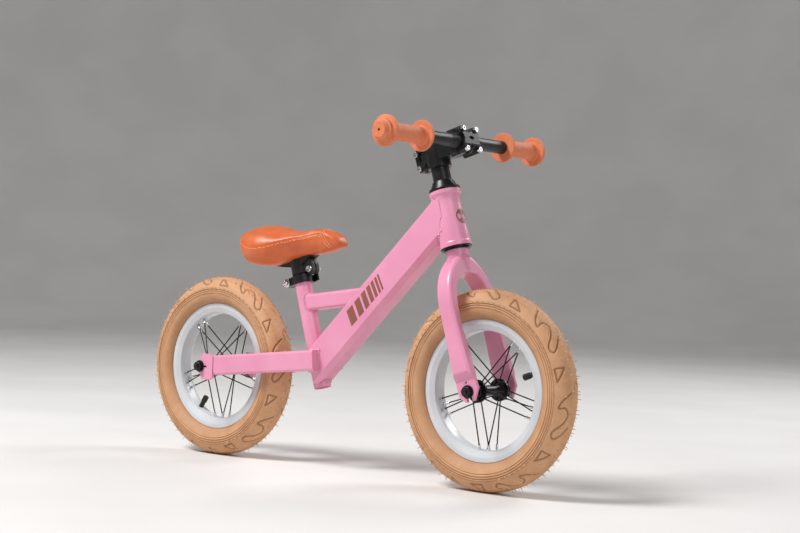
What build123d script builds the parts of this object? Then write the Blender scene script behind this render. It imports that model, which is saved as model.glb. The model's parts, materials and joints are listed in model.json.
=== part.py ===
from build123d import *
import os
from math import cos, radians, sin

# A child's balance bike: aluminium frame, wishbone fork, two spoked 12 inch wheels, no pedals.
# Millimetres. X points forward, Y to the rider's left, Z up.
# The origin is on the ground, midway between the two axles.

# ---- Driving dimensions ----
wheelbase = 565.0
wheel_radius = 153.0  # 57-203 tyre
tyre_half_width = 27.5
rim_lip_radius = 107.8
rim_bed_radius = 90.0
rim_half_width = 16.0

tube_angle = 73.0  # head tube and seat tube from the ground
head_low = (212.3, 367.6)  # x, z of the head tube's lower end
head_length = 89.5
seat_low = (-49.6, 131.8)  # x, z of the seat tube's lower end
seat_tube_length = 190.0
seat_tube_radius = 14.3
seat_post_radius = 12.65

main_angle = 45.0
main_edge = (40.2, 301.9)  # a point of the main tube's top face
main_depth = 54.0
main_half_width = 22.0
wall = 2.0

steerer_radius = 14.3
fork_offset = 4.4
axle_drop = 225.8  # lower end of the head tube to the axle, along the steering axis
fork_inner = 43.5
fork_width = 16.0
fork_depth = 28.0
front_old = 94.0  # width between the fork ends
rear_old = 100.0
end_plate = 5.0
axle_radius = 3.95
front_axle_half = 62.5
rear_axle_half = 65.0

stem_reach = 53.1
bar_height = 153.5  # handlebar centre above the head tube's lower end
bar_half = 196.0
bar_grip_radius = 9.25
bar_mid_radius = 10.2
bar_clamp_radius = 12.7
grip_end = 205.0
grip_flange_radius = 23.5
grip_radius = 13.2

flange_y = 28.0  # hub flange centre
spoke_circle = 14.8
spoke_radius = 1.0
group_angles = [-15.3 + 72.0 * k for k in range(5)]
nipple_step = 5.35  # degrees between neighbouring nipples of a group
valve_angles = {"front": 20.7, "rear": -123.3}

saddle_rear = -222.0
saddle_front = -15.5

rise = (-cos(radians(tube_angle)), 0, sin(radians(tube_angle)))
ahead = (sin(radians(tube_angle)), 0, cos(radians(tube_angle)))
head_frame = Plane(origin=(head_low[0], 0, head_low[1]), x_dir=ahead, z_dir=rise).location
seat_frame = Plane(origin=(seat_low[0], 0, seat_low[1]), x_dir=ahead, z_dir=rise).location
main_along = (cos(radians(main_angle)), 0, sin(radians(main_angle)))
main_up = (-sin(radians(main_angle)), 0, cos(radians(main_angle)))
main_frame = Plane(origin=(main_edge[0], 0, main_edge[1]), x_dir=main_up, z_dir=main_along).location
wheel_places = {
    "front": Pos(wheelbase / 2, 0, wheel_radius),
    "rear": Pos(-wheelbase / 2, 0, wheel_radius),
}
nodes = {}


# ---- Shape helpers ----
def post(radius, low, high):
    """A cylinder about Z between two heights."""
    return Pos(0, 0, low) * Cylinder(radius, high - low, align=(Align.CENTER, Align.CENTER, Align.MIN))


def sleeve(outer, inner, low, high):
    """A tube about Z between two heights."""
    return post(outer, low, high) - post(inner, low - 1, high + 1)


def rod(radius, left, right):
    """A cylinder about Y between two y values."""
    return Rot(-90, 0, 0) * post(radius, left, right)


def between(start, end, radius):
    """A straight round bar from one point to another."""
    line = Edge.make_line(start, end)
    return Plane(origin=start, z_dir=line.tangent_at(0)).location * post(radius, 0, line.length)


def turned(outline):
    """A solid of revolution about Z from (radius, height) points."""
    face = make_face(Polyline([(r, 0, h) for r, h in outline], close=True))
    return revolve(face, Axis.Z)


def spun(edges):
    """A solid of revolution about Y from edges drawn as (radius, y)."""
    return revolve(make_face(edges), Axis.Y)


def turned_y(outline):
    """A solid of revolution about Y from (radius, y) points."""
    return spun(Polyline(outline, close=True))


def block(low, high):
    """A box between two corners."""
    size = [b - a for a, b in zip(low, high)]
    return Pos(*low) * Box(*size, align=(Align.MIN, Align.MIN, Align.MIN))


def side_plate(points, left, right):
    """An (x, z) outline given thickness between two y values."""
    face = make_face(Polyline([(x, left, z) for x, z in points], close=True))
    return extrude(face, amount=right - left, dir=(0, 1, 0))


def hexagon(across_flats, low, high):
    """A hexagonal prism about Z with its corners turned off at both ends."""
    corner = across_flats / 2 / cos(radians(30))
    prism = Pos(0, 0, low) * extrude(RegularPolygon(corner, 6), high - low)
    lens = [(0, low), (across_flats / 2, low), (corner, low + 0.8), (corner, high - 0.8)]
    return prism & turned(lens + [(across_flats / 2, high), (0, high)])


def group(shapes):
    """Separate solids kept in one node."""
    return Compound([solid for shape in shapes for solid in shape.solids()])


def other_side(shape):
    """The mirror image of a shape on the other side of the bike."""
    return mirror(shape, Plane.XZ)


def both_sides(shape):
    """A shape and its mirror image, as one group."""
    return group([shape, other_side(shape)])


def inset(points, amount):
    """The face of a polygon, moved inwards."""
    return offset(make_face(Polyline(points, close=True)), -amount, kind=Kind.INTERSECTION)


# ---- Frame tubes ----
def head_tube_outline():
    """Outer (radius, height) points of the head tube: end rings and a drawn-in waist."""
    upper = [(25.0, 89.5), (25.0, 84.0), (23.0, 82.0), (21.2, 74.0), (21.0, 66.0)]
    lower = [(21.6, 52.0), (23.0, 34.0), (24.0, 16.0), (24.3, 7.5), (25.0, 6.0), (25.0, 0.0)]
    return upper + lower


def make_head_tube():
    body = turned([(0, head_length)] + head_tube_outline() + [(0, 0)])
    bore = post(20.0, -1, head_length + 1)
    for low, high in ((-1, 9), (head_length - 9, head_length + 1)):
        bore += post(22.0, low, high)
    return head_frame * (body - bore)


def main_section():
    """Section of the main tube: flat sides, rounded top corners, a bevelled lower half."""
    half = main_half_width
    upper = [(0, -half), (0, half)]
    lower = [(-47.5, half), (-main_depth, 12), (-main_depth, -12), (-47.5, -half)]
    return upper + lower


def make_main_tube(seat_tube_filled, head_tube_filled):
    outer = inset(main_section(), 0)
    corners = outer.vertices().sort_by(Axis.X)
    outer = fillet(corners[-2:], 5)
    inner = inset(main_section(), wall)
    reach = 400
    body = extrude(outer, reach, both=True) - extrude(inner, reach, both=True)
    body = main_frame * body
    body = body & head_frame * block((-reach, -reach, -reach), (0, reach, reach))
    body = body & seat_frame * block((0, -reach, -reach), (3 * reach, reach, reach))
    body = body - head_tube_filled - seat_tube_filled
    return body.solids().sort_by(SortBy.VOLUME)[-1]


def main_tube_filled():
    return main_frame * extrude(inset(main_section(), 0), 400, both=True)


def make_seat_tube():
    body = sleeve(seat_tube_radius, seat_post_radius + 0.05, 0, seat_tube_length)
    slot = block((-20, -1.2, seat_tube_length - 26), (-8, 1.2, seat_tube_length + 1))
    return seat_frame * (body - slot)


def make_cross_tube(seat_tube_filled):
    angle = 7.5
    high = 27.0
    wide = 24.0
    along = (cos(radians(angle)), 0, sin(radians(angle)))
    up = (-sin(radians(angle)), 0, cos(radians(angle)))
    place = Plane(origin=(-92, 0, 269.5), x_dir=up, z_dir=along).location
    outer = extrude(RectangleRounded(high, wide, 6), 130)
    inner = extrude(RectangleRounded(high - 2 * wall, wide - 2 * wall, 4), 130)
    body = place * (outer - inner)
    body = body & seat_frame * block((0, -50, 0), (200, 50, 200))
    body = body - seat_tube_filled - main_tube_filled()
    return body.solids().sort_by(SortBy.VOLUME)[-1]


def make_chainstay():
    """The right-hand stay, a tapered rounded box tube with a vent hole on its inner face."""
    angle = 6.0
    length = 212.0
    half_height = 17.0
    along = (cos(radians(angle)), 0, sin(radians(angle)))
    up = (-sin(radians(angle)), 0, cos(radians(angle)))
    place = Plane(origin=(-wheelbase / 2 + 30, 0, 156.0), x_dir=along, z_dir=up).location
    plan = [(0, -53.5), (length, -38), (length, -main_half_width), (0, -38)]
    body = extrude(make_face(Polyline(plan, close=True)), half_height, both=True)
    long_edges = [edge for edge in body.edges() if abs(abs(edge.center().Z) - half_height) < 0.1]
    long_edges = [edge for edge in long_edges if edge.length > 100]
    body = fillet(long_edges, 5)
    cavity = extrude(inset(plan, wall), half_height - wall, both=True)
    vent = Pos(30, -40, 0) * Rot(-90, 0, 0) * post(1.5, -6, 8)
    return place * (body - cavity - vent) - make_dropout()


def make_dropout():
    """The right-hand rear end plate: an open slot whose inner end is a keyhole."""
    half = 22.0
    edge = [(-3, 8.6), (6, half - 0.2), (22, half), (30, 18)]
    outline = edge + [(x, -z) for x, z in reversed(edge)]
    slot = [(-10, 5), (3, 5), (9, 1.4), (14, 1.4), (14, -1.4), (9, -1.4), (3, -5), (-10, -5)]
    inner = rear_old / 2
    body = side_plate(outline, -inner - end_plate, -inner)
    body -= side_plate(slot, -inner - end_plate - 1, -inner + 1)
    body -= Pos(13.5, 0, 0) * rod(2.4, -inner - end_plate - 1, -inner + 1)
    return wheel_places["rear"] * body


# ---- Headset ----
cup_lip = 2.5
race_height = 6.5


def make_cup():
    """Pressed-in lower bearing cup with its lip below the tube. The upper one is its mirror."""
    outline = [(20.95, -cup_lip), (24.5, -cup_lip), (24.5, 0), (22.0, 0), (22.0, 7.5)]
    return turned(outline + [(17.5, 7.5), (17.5, 5.0), (20.95, 5.0)])


def make_bearing():
    """Sealed headset bearing for the lower cup: two races and a ring of balls."""
    low = -cup_lip + 0.7
    high = low + race_height
    outer = sleeve(20.9, 18.9, low, high)
    inner = sleeve(16.4, 15.1, low, high)
    count = 20
    ball = Pos(17.65, 0, (low + high) / 2) * Sphere(1.2)
    return group([outer, inner] + [Rot(0, 0, 360 / count * k) * ball for k in range(count)])


def to_upper(shape):
    """The lower headset piece turned over for the upper end of the head tube."""
    return Pos(0, 0, head_length) * mirror(shape, Plane.XY)


def make_crown_race():
    outline = [(14.35, -4.6), (20.5, -4.6), (20.5, -2.9), (16.2, -2.1), (14.95, -2.1), (14.95, 4.0)]
    return turned(outline + [(14.35, 4.0)])


def make_compression_ring():
    top = head_length + cup_lip
    outline = [(14.35, top - 6), (14.95, top - 6), (14.95, top - 0.4), (18, top - 0.4), (18, top + 1.6)]
    return turned(outline + [(14.35, top + 1.6)])


def make_headset_cover():
    base = head_length + cup_lip + 0.4
    ring = [(19.0, base), (23.6, base), (24.2, base + 1.0), (23.6, base + 2.6), (21.2, base + 3.2)]
    cone = [(20.6, base + 4.4), (16.6, base + 13.2), (15.8, base + 14.0), (14.35, base + 14.0)]
    outline = ring + cone + [(14.35, base + 3.0), (19.0, base + 2.0)]
    return turned(outline)


# ---- Fork, in the steering frame ----
def leg_outline():
    """Wishbone leg seen from the front: (y, z) edges from the crown down to the end plate."""
    outer = fork_inner + fork_width
    plate_in = front_old / 2
    plate_out = plate_in + end_plate
    bottom = -axle_drop - 15
    return [
        Line((0, -17), (17.0, -17.5)),
        ThreePointArc((17.0, -17.5), (47.5, -47.0), (outer, -100.0)),
        Line((outer, -100.0), (outer, -196.0)),
        Line((outer, -196.0), (plate_out, -209.0)),
        Line((plate_out, -209.0), (plate_out, bottom)),
        Line((plate_out, bottom), (plate_in, bottom)),
        Line((plate_in, bottom), (plate_in, -207.0)),
        Line((plate_in, -207.0), (fork_inner, -198.0)),
        Line((fork_inner, -198.0), (fork_inner, -102.0)),
        ThreePointArc((fork_inner, -102.0), (36.5, -68.0), (19.0, -45.0)),
        Line((19.0, -45.0), (0, -43.0)),
        Line((0, -43.0), (0, -17)),
    ]


def leg_edges(body, y_level, high):
    """The long edges of the leg's outer or inner face, straight part and bend."""
    chosen = []
    for edge in body.edges():
        middle = edge @ 0.5
        straight = abs(middle.Y - y_level) < 0.1 and edge.length > 25
        bend = edge.geom_type == GeomType.CIRCLE and (middle.Z > -60) == high
        if straight or bend:
            chosen.append(edge)
    return chosen


def make_fork_leg():
    """The left-hand leg: bent box section, wider fore and aft at the slotted end plate."""
    half = fork_depth / 2
    slot_x = fork_offset
    body = Plane.YZ.location * extrude(make_face(leg_outline()), 30, both=True)
    front = [(half, -10), (half, -125), (slot_x + 18.5, -axle_drop + 2), (slot_x + 8, -axle_drop - 15)]
    back = [(slot_x - 8, -axle_drop - 15), (-half, -axle_drop - 4), (-half, -10)]
    body = body & side_plate(front + back, -1, 70)
    body = fillet(leg_edges(body, fork_inner + fork_width, True), 6)
    body = fillet(leg_edges(body, fork_inner, False), 3)
    shoulder = turned([(0, -17.0), (17.4, -17.0), (15.0, -38.0), (0, -38.0)])
    body += shoulder & block((-30, 0, -60), (30, 30, 0))
    slot = [(-5, -30), (-5, 2), (-1.4, 10), (-1.4, 13), (1.4, 13), (1.4, 10), (5, 2), (5, -30)]
    cut = side_plate(slot, 40, 60) + Pos(0, 0, 13) * rod(2.4, 40, 60)
    return body - Pos(slot_x, 0, -axle_drop) * cut


def make_fork_crown():
    return sleeve(17.4, steerer_radius + 0.02, -17, -4.6)


def make_steerer():
    return sleeve(steerer_radius, 12.0, -17, 164)


# ---- Stem and handlebar, in the steering frame ----
clamp_radius = 18.5
bolt_grid = 16.0
face_split = 0.6


def grid_posts(radius, low, high):
    """Four posts along X at the corners of the faceplate's bolt square."""
    shapes = []
    for y in (-bolt_grid, bolt_grid):
        for z in (-bolt_grid, bolt_grid):
            shapes.append(Pos(0, y, z) * Rot(0, 90, 0) * post(radius, low, high))
    return shapes


def make_stem_body():
    bar = Pos(stem_reach, 0, bar_height)
    clamp = post(18.8, 128, 168)
    lug = [(-8, 168), (-33, 165), (-36, 158), (-35, 133), (-31, 129), (-25, 130), (-12, 146), (-8, 150)]
    lugs = side_plate(lug, -10, 10)
    arm = [(8, 140), (30, 137), (stem_reach - 5, 137), (stem_reach - 5, 170), (30, 170), (19, 168), (8, 168)]
    body = clamp + lugs + side_plate(arm, -15, 15)
    cradle = rod(clamp_radius, -21, 21) & block((-30, -30, -30), (-face_split, 30, 30))
    for boss in grid_posts(5.2, -14, -face_split):
        cradle += boss
    body += bar * cradle
    body -= post(steerer_radius + 0.02, 120, 180)
    body -= bar * rod(bar_clamp_radius + 0.02, -30, 30)
    body -= block((-40, -1.3, 120), (-10, 1.3, 180))
    recess = [(-30.5, 160), (-17.5, 161), (-27, 142)]
    for side in (-1, 1):
        body -= side_plate(recess, side * 10 - 2.2, side * 10 + 2.2)
    for x, z in ((-31.2, 158.5), (-29.8, 135.0)):
        body -= Pos(x, 0, z) * rod(2.55, -12, 12)
    for hole in grid_posts(2.55, -12, 1):
        body -= bar * hole
    return body


def make_faceplate():
    """Front half of the bar clamp: an X with an eye-shaped window."""
    front = 16.5
    body = rod(clamp_radius, -21.5, 21.5)
    for boss in grid_posts(5.2, 0, front - 3.5):
        body += boss
    body = body & block((face_split, -30, -30), (front, 30, 30))
    body -= rod(bar_clamp_radius + 0.02, -30, 30)
    for side in (-1, 1):
        notch = make_face(Polyline([(-8.5, side * 26), (8.5, side * 26), (0, side * 6.5)], close=True))
        body -= Plane.YZ.location * extrude(notch, 40)
        waist = Pos(side * 29, 0, 0) * Circle(11.5)
        body -= Plane.YZ.location * extrude(waist, 40)
    eye = Pos(0, 1.5, 0) * Ellipse(6.0, 2.6)
    body -= Plane.YZ.location * extrude(eye, 40)
    for hole in grid_posts(2.6, -2, 40) + grid_posts(4.4, 13.0, 40):
        body -= hole
    return Pos(stem_reach, 0, bar_height) * body


def cap_screw(head_radius, head_length, shank_radius, length, key):
    """A socket screw along Z, head above zero, shank below."""
    socket = Pos(0, 0, head_length - 2.5) * extrude(RegularPolygon(key / 2 / cos(radians(30)), 6), 3)
    outline = [(0, 0), (head_radius, 0), (head_radius, head_length - 0.6), (head_radius - 0.6, head_length)]
    head = turned(outline + [(0, head_length)])
    return head - socket + post(shank_radius, -length, 0.1)


def make_faceplate_bolts():
    screw = cap_screw(4.25, 5.0, 2.5, 24, 4)
    screws = []
    for y in (-bolt_grid, bolt_grid):
        for z in (-bolt_grid, bolt_grid):
            screws.append(Pos(stem_reach + 13.0, y, bar_height + z) * Rot(0, 90, 0) * screw)
    return group(screws)


def make_pinch_bolts():
    screw = cap_screw(4.25, 5.0, 2.5, 19, 4)
    places = (Pos(-31.2, -10, 158.5), Pos(-29.8, -10, 135.0))
    return group([place * Rot(90, 0, 0) * screw for place in places])


def make_top_cap():
    outline = [(3.2, 168.1), (17.6, 168.1), (17.6, 170.5), (15.5, 172.3), (5.6, 172.3), (5.6, 170.6)]
    return turned(outline + [(3.2, 170.6)])


def make_top_cap_bolt():
    return Pos(0, 0, 170.7) * cap_screw(5.0, 3.2, 3.0, 34, 5)


def make_star_nut():
    """Two toothed spring discs on a threaded core, driven into the steerer."""
    body = sleeve(4.5, 3.05, 138, 152)
    for height in (139.5, 148):
        disc = post(11.95, height, height + 1.2) - post(3.05, height - 1, height + 3)
        for k in range(8):
            disc -= Rot(0, 0, 45 * k) * block((8, -0.9, height - 1), (13, 0.9, height + 3))
        body += disc
    return body


def make_handlebar():
    half = [(bar_clamp_radius, 0), (bar_clamp_radius, 24), (bar_mid_radius, 40), (bar_mid_radius, 92)]
    half += [(bar_grip_radius, 92.6), (bar_grip_radius, bar_half)]
    outline = [(r, -y) for r, y in reversed(half[1:])] + half[1:]
    body = turned_y(outline + [(7.4, bar_half), (7.4, -bar_half)])
    return Pos(stem_reach, 0, bar_height) * body


def make_grip():
    """Left-hand rubber grip: a flange at each end and a stepped end with a small hole in it."""
    flange = grip_flange_radius
    outline = [
        (bar_grip_radius + 0.05, 102.8),
        (flange - 1, 102.8),
        (flange, 104.0),
        (flange, 106.0),
        (flange - 1, 107.2),
        (grip_radius + 2.5, 107.2),
        (grip_radius, 110.0),
        (grip_radius, 183.5),
        (grip_radius + 2.5, 186.5),
        (flange - 1, 186.5),
        (flange, 187.7),
        (flange, 191.3),
        (flange - 1.2, 192.5),
        (17.5, 194.0),
        (17.0, 198.0),
        (14.5, 199.0),
        (12.0, 203.5),
        (11.0, grip_end),
        (2.2, grip_end),
        (2.2, bar_half + 0.2),
        (bar_grip_radius + 0.05, bar_half + 0.2),
    ]
    return Pos(stem_reach, 0, bar_height) * turned_y(outline)


# ---- Seat clamp, seat post and saddle ----
collar_low = 177.0
collar_high = 191.0
pivot = (-24.0, 13.4, 184.0)


def make_collar():
    body = post(17.2, collar_low, collar_high)
    body += block((-30, -13, collar_low + 0.5), (-10, 8, collar_high - 0.5))
    body -= post(seat_tube_radius + 0.05, collar_low - 1, collar_high + 1)
    body -= block((-40, -1.2, collar_low - 1), (-10, 1.2, collar_high + 1))
    return body - Pos(pivot[0], 0, pivot[2]) * rod(2.6, -14, 12)


def make_collar_bolt():
    """Quick-release skewer: a rod with an eye that the lever's pin goes through."""
    eye = sleeve(4.0, 1.9, pivot[2] - 1.9, pivot[2] + 1.9)
    body = Pos(pivot[0], 0, pivot[2]) * rod(1.9, -22, pivot[1] - 3)
    return body + Pos(pivot[0], pivot[1], 0) * eye


def make_collar_nut():
    outline = [(1.95, -13.2), (7.2, -13.2), (7.2, -15.2), (5.4, -15.8), (5.2, -18.6)]
    outline += [(3.6, -20.6), (1.95, -21.2)]
    return Pos(pivot[0], 0, pivot[2]) * turned_y(outline)


def make_lever():
    """Cam lever, closed: two cheeks on a pin and an arm that follows the collar forward."""
    low = pivot[2] - 6
    high = pivot[2] + 6
    plan = [(-26, 15.6), (-21, 17.6), (-8, 18.6), (6, 18.4), (16, 15.2), (21, 13.6)]
    plan += [(22, 16.2), (17, 19.0), (7, 22.0), (-8, 22.2), (-22, 20.6), (-27, 18.0)]
    arm = Pos(0, 0, low) * extrude(make_face(Polyline(plan, close=True)), 12)
    cheeks = Pos(pivot[0], pivot[1], 0) * post(5.1, low, high)
    gap = Pos(pivot[0], pivot[1], 0) * post(7.2, pivot[2] - 2.2, pivot[2] + 2.2)
    pin = Pos(pivot[0], pivot[1], 0) * post(1.82, low, high)
    return arm + cheeks - gap + pin


socket_low = 193.0
socket_high = 224.0
post_bottom = 84.0


def make_seat_post():
    return sleeve(seat_post_radius, 10.6, post_bottom, socket_high - 1)


def saddle_sections(trim, low_shift, high_shift, corner):
    """Stations along the saddle: (x from its rear end, width, underside z, top z)."""
    stations = [
        (1, 50, 352, 375),
        (8, 80, 345, 384),
        (18, 104, 340.5, 390),
        (34, 114, 337, 394),
        (62, 123, 335, 394.5),
        (96, 104, 341, 387.5),
        (128, 72, 351, 386.5),
        (166, 50, 358, 391),
        (192, 43, 360.5, 386),
        (205.5, 28, 362, 375),
    ]
    faces = []
    for reach, width, low, high in stations:
        if reach < trim or reach > saddle_front - saddle_rear - trim:
            continue
        bottom = low + low_shift
        top = high if high_shift is None else low + high_shift
        wide = width - 2 * trim
        place = Plane(origin=(saddle_rear + reach, 0, (bottom + top) / 2), x_dir=(0, 1, 0), z_dir=(1, 0, 0))
        radius = min(wide, top - bottom) * 0.42
        faces.append(place * RectangleRounded(wide, top - bottom, min(radius, corner)))
    return faces


def make_saddle_pad():
    cavity = loft(saddle_sections(13.5, -14, 14.3, 5))
    return loft(saddle_sections(0, 0, None, 40)) - cavity


def make_saddle_base():
    """Plastic shell under the padding, with a keel and a split socket for the seat post."""
    shell = loft(saddle_sections(14.0, 1.0, 14.0, 5))
    keel = [(-172, 338), (-166, 333.5), (-155, 328.5), (-137, 327), (-100, 328), (-94, 336), (-87, 342)]
    keel += [(-74, 353), (-58, 357.5), (-58, 364), (-100, 356), (-160, 344)]
    body = shell + side_plate(keel, -11.5, 11.5)
    body += seat_frame * post(15.6, socket_low, socket_high)
    ears = [(8, 216), (30, 212), (33, 203), (33, 191), (29, 187.8), (21, 187.8), (19, 193), (8, 193)]
    body += seat_frame * side_plate(ears, -8.5, 8.5)
    body -= seat_frame * post(seat_post_radius + 0.02, socket_low - 20, socket_high)
    body -= seat_frame * block((9, -1.2, 180), (40, 1.2, 212))
    bore = rod(3.05, -14, 14) + rod(6.2, -14, -8.5) + rod(6.2, 8.5, 14)
    return body - seat_frame * Pos(26.5, 0, 195.5) * bore


def make_saddle_bolt():
    return seat_frame * Pos(26.5, -8.6, 195.5) * Rot(90, 0, 0) * cap_screw(5.4, 4.5, 3.0, 23, 6)


def make_saddle_nut():
    nut = hexagon(10, 8.6, 13.6) - post(3.05, 0, 20)
    return seat_frame * Pos(26.5, 0, 195.5) * Rot(-90, 0, 0) * nut


# ---- Wheels, about their own centre with the axle along Y ----
ball_radius = 2.2
ball_circle = 8.9
ball_y = 33.0
balls_each = 9


def make_hub():
    flange = 1.5
    half = [(8.2, 0), (8.2, 14), (9.2, 19), (11.0, 24), (12.5, flange_y - flange)]
    half += [(17.4, flange_y - flange), (17.4, flange_y + flange), (12.7, flange_y + flange), (12.7, 38.0)]
    bore = [(11.35, 38.0), (11.35, ball_y), (10.6, ball_y - 1.7), (8.9, ball_y - 2.45), (6.2, ball_y - 2.45)]
    half += bore
    body = turned_y(half + [(r, -y) for r, y in reversed(half[1:])])
    for side in (-1, 1):
        for k in range(10):
            place = Rot(0, 36 * k - side_angle(side), 0) * Pos(spoke_circle, 0, 0)
            body -= place * rod(1.25, side * flange_y - 3, side * flange_y + 3)
    return body


def side_angle(side):
    """Angle of a flange's first hole: the two flanges are turned apart by one nipple step."""
    return group_angles[0] + side * nipple_step / 2 + 18


def at_angle(radius, degrees, y):
    """A point of the wheel at a radius and an angle up from +X."""
    return (radius * cos(radians(degrees)), y, radius * sin(radians(degrees)))


def spoke_runs():
    """Each spoke as (hub point, rim point, side, elbow_outside)."""
    runs = []
    for group_angle in group_angles:
        for side in (-1, 1):
            middle = group_angle + side * nipple_step / 2
            for turn, outside in ((-1, True), (1, False)):
                elbow = 32.2 if outside else 24.2
                hub = at_angle(spoke_circle, middle + turn * 18, side * elbow)
                rim = at_angle(96.0, middle + turn * nipple_step, side * 2.0)
                runs.append((hub, rim, side, outside))
    return runs


def part_way(start, end, distance):
    """The point at a distance from start on the way to end."""
    length = sum((b - a) ** 2 for a, b in zip(start, end)) ** 0.5
    return tuple(a + (b - a) * distance / length for a, b in zip(start, end))


def make_spokes():
    """Bent-end wire spokes with a head on the far side of the flange."""
    spokes = []
    for hub, rim, side, outside in spoke_runs():
        head_y = 25.4 if outside else 30.6
        across = (hub[0], side * head_y, hub[2])
        head_end = (hub[0], side * (head_y - 0.8 if outside else head_y + 0.8), hub[2])
        body = between(hub, part_way(rim, hub, 5.5), spoke_radius)
        body += between(hub, across, spoke_radius) + Pos(*hub) * Sphere(spoke_radius)
        spokes.append(body + between(across, head_end, 1.9))
    return group(spokes)


def make_nipples():
    """Spoke nipples: barrel below the rim bed, head inside the rim."""
    nipples = []
    for hub, rim, side, outside in spoke_runs():
        head = part_way(rim, hub, 1.6)
        body = between(part_way(rim, hub, -0.4), head, 2.9)
        body += between(head, part_way(rim, hub, 15.0), 1.95)
        nipples.append(body - between(part_way(rim, hub, 5.0), part_way(rim, hub, 16.0), spoke_radius + 0.03))
    return group(nipples)


def make_rim(valve_angle):
    lip = rim_lip_radius
    bed = rim_bed_radius
    half = rim_half_width
    well = [(93.2, 0), (94.5, 9.0), (101.4, 10.5), (101.4, 13.6), (102.6, 14.4)]
    flange = [(lip - 0.5, 14.4), (lip, 14.9), (lip, half - 0.5), (lip - 0.5, half), (100.5, half)]
    edge = well + flange + [(92.3, 12.5), (bed + 0.4, 8.5), (bed, 0)]
    body = turned_y(edge + [(r, -y) for r, y in reversed(edge[1:-1])])
    for hub, rim, _, _ in spoke_runs():
        body -= between(part_way(rim, hub, 14.0), part_way(rim, hub, -6.0), 2.1)
    return body - between(at_angle(80, valve_angle, 0), at_angle(99, valve_angle, 0), 4.3)


def casing_edges(toe, foot, side, shoulder, crown):
    """Both halves of a tyre or tube outline, as (radius, y) edges from bead to bead."""
    half = [
        Line(toe, foot),
        ThreePointArc(foot, side, shoulder),
    ]
    flipped = [mirror(edge, Plane.XZ) for edge in half]
    low = (shoulder[0], -shoulder[1])
    return half + [ThreePointArc(shoulder, crown, low)] + flipped


def make_tyre():
    top = wheel_radius
    outer = casing_edges((107.9, 14.0), (108.6, 17.5), (128, tyre_half_width), (145.5, 21), (top, 0))
    inner = casing_edges((101.6, 11.2), (108.5, 12.2), (128, 24.3), (142.6, 18.4), (148.4, 0))
    beads = []
    for side in (-1, 1):
        bead = [(107.9, 14.0), (102.8, 14.0), (101.6, 13.2), (101.6, 11.2)]
        beads.append(Polyline([(r, side * y) for r, y in bead]))
    return spun(outer + inner + beads)


def tube_body(skin):
    """The inner tube's outline, inset by a skin thickness."""
    foot = (98.3 + skin, 8.5 - skin)
    crown = (147.9 - skin, 0)
    side = casing_edges(foot, (108.6, 11.8 - skin), (128, 23.8 - skin), (142.1 - skin, 18.0 - skin), crown)
    return spun(side + [Line(foot, (foot[0], -foot[1]))])


def make_tube(valve_angle):
    """Butyl inner tube with its rubber valve stem, bored through to the air space."""
    skin = 1.2
    body = tube_body(0) + between(at_angle(100, valve_angle, 0), at_angle(72, valve_angle, 0), 4.1)
    body -= tube_body(skin)
    return body - between(at_angle(70, valve_angle, 0), at_angle(104, valve_angle, 0), 1.4)


def make_valve_cap(valve_angle):
    body = between(at_angle(69, valve_angle, 0), at_angle(79, valve_angle, 0), 4.9)
    return body - between(at_angle(71, valve_angle, 0), at_angle(81, valve_angle, 0), 4.14)


def make_balls():
    balls = []
    for side in (-1, 1):
        for k in range(balls_each):
            turn = Rot(0, 360 / balls_each * k, 0)
            balls.append(turn * Pos(ball_circle, side * ball_y, 0) * Sphere(ball_radius))
    return group(balls)


def make_cones(old):
    """Bearing cones and their locknuts, one of each per side."""
    bore = axle_radius + 0.05
    race = [(bore, ball_y - 1.6), (6.0, ball_y - 1.6), (6.3, ball_y), (7.1, ball_y + 1.8)]
    cone = turned_y(race + [(8.9, ball_y + 2.5), (9.4, ball_y + 3.2), (9.4, 43.0), (bore, 43.0)])
    locknut = Rot(-90, 0, 0) * (hexagon(15, 43.0, old / 2) - post(bore, 40, 60))
    return both_sides(group([cone, locknut]))


def make_axle_nuts(old):
    """Hexagonal nuts with a broad serrated flange against the end plate."""
    start = old / 2 + end_plate
    nut = hexagon(14, start + 1.0, start + 8.0) + post(10.0, start, start + 1.8)
    return both_sides(Rot(-90, 0, 0) * (nut - post(axle_radius + 0.05, start - 1, start + 9)))


def add_wheel(name, place):
    valve_angle = valve_angles[name]
    nodes[name + "_hub"] = place * make_hub()
    nodes[name + "_hub_balls"] = place * make_balls()
    nodes[name + "_spokes"] = place * make_spokes()
    nodes[name + "_nipples"] = place * make_nipples()
    nodes[name + "_rim"] = place * make_rim(valve_angle)
    nodes[name + "_tyre"] = place * make_tyre()
    nodes[name + "_inner_tube"] = place * make_tube(valve_angle)
    nodes[name + "_valve_cap"] = place * make_valve_cap(valve_angle)


def add_axle(name, place, old, half_length):
    nodes[name + "_axle"] = place * rod(axle_radius, -half_length, half_length)
    nodes[name + "_cones"] = place * make_cones(old)
    nodes[name + "_axle_nuts"] = place * make_axle_nuts(old)


def add_frame():
    seat_tube_filled = seat_frame * post(seat_tube_radius, -50, 300)
    head_tube_filled = head_frame * turned([(0, head_length)] + head_tube_outline() + [(0, 0)])
    nodes["head_tube"] = make_head_tube()
    nodes["main_tube"] = make_main_tube(seat_tube_filled, head_tube_filled)
    nodes["seat_tube"] = make_seat_tube()
    nodes["cross_tube"] = make_cross_tube(seat_tube_filled)
    for side, turn_over in (("right", False), ("left", True)):
        stay = make_chainstay()
        plate = make_dropout()
        nodes["chainstay_" + side] = other_side(stay) if turn_over else stay
        nodes["dropout_" + side] = other_side(plate) if turn_over else plate


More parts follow.
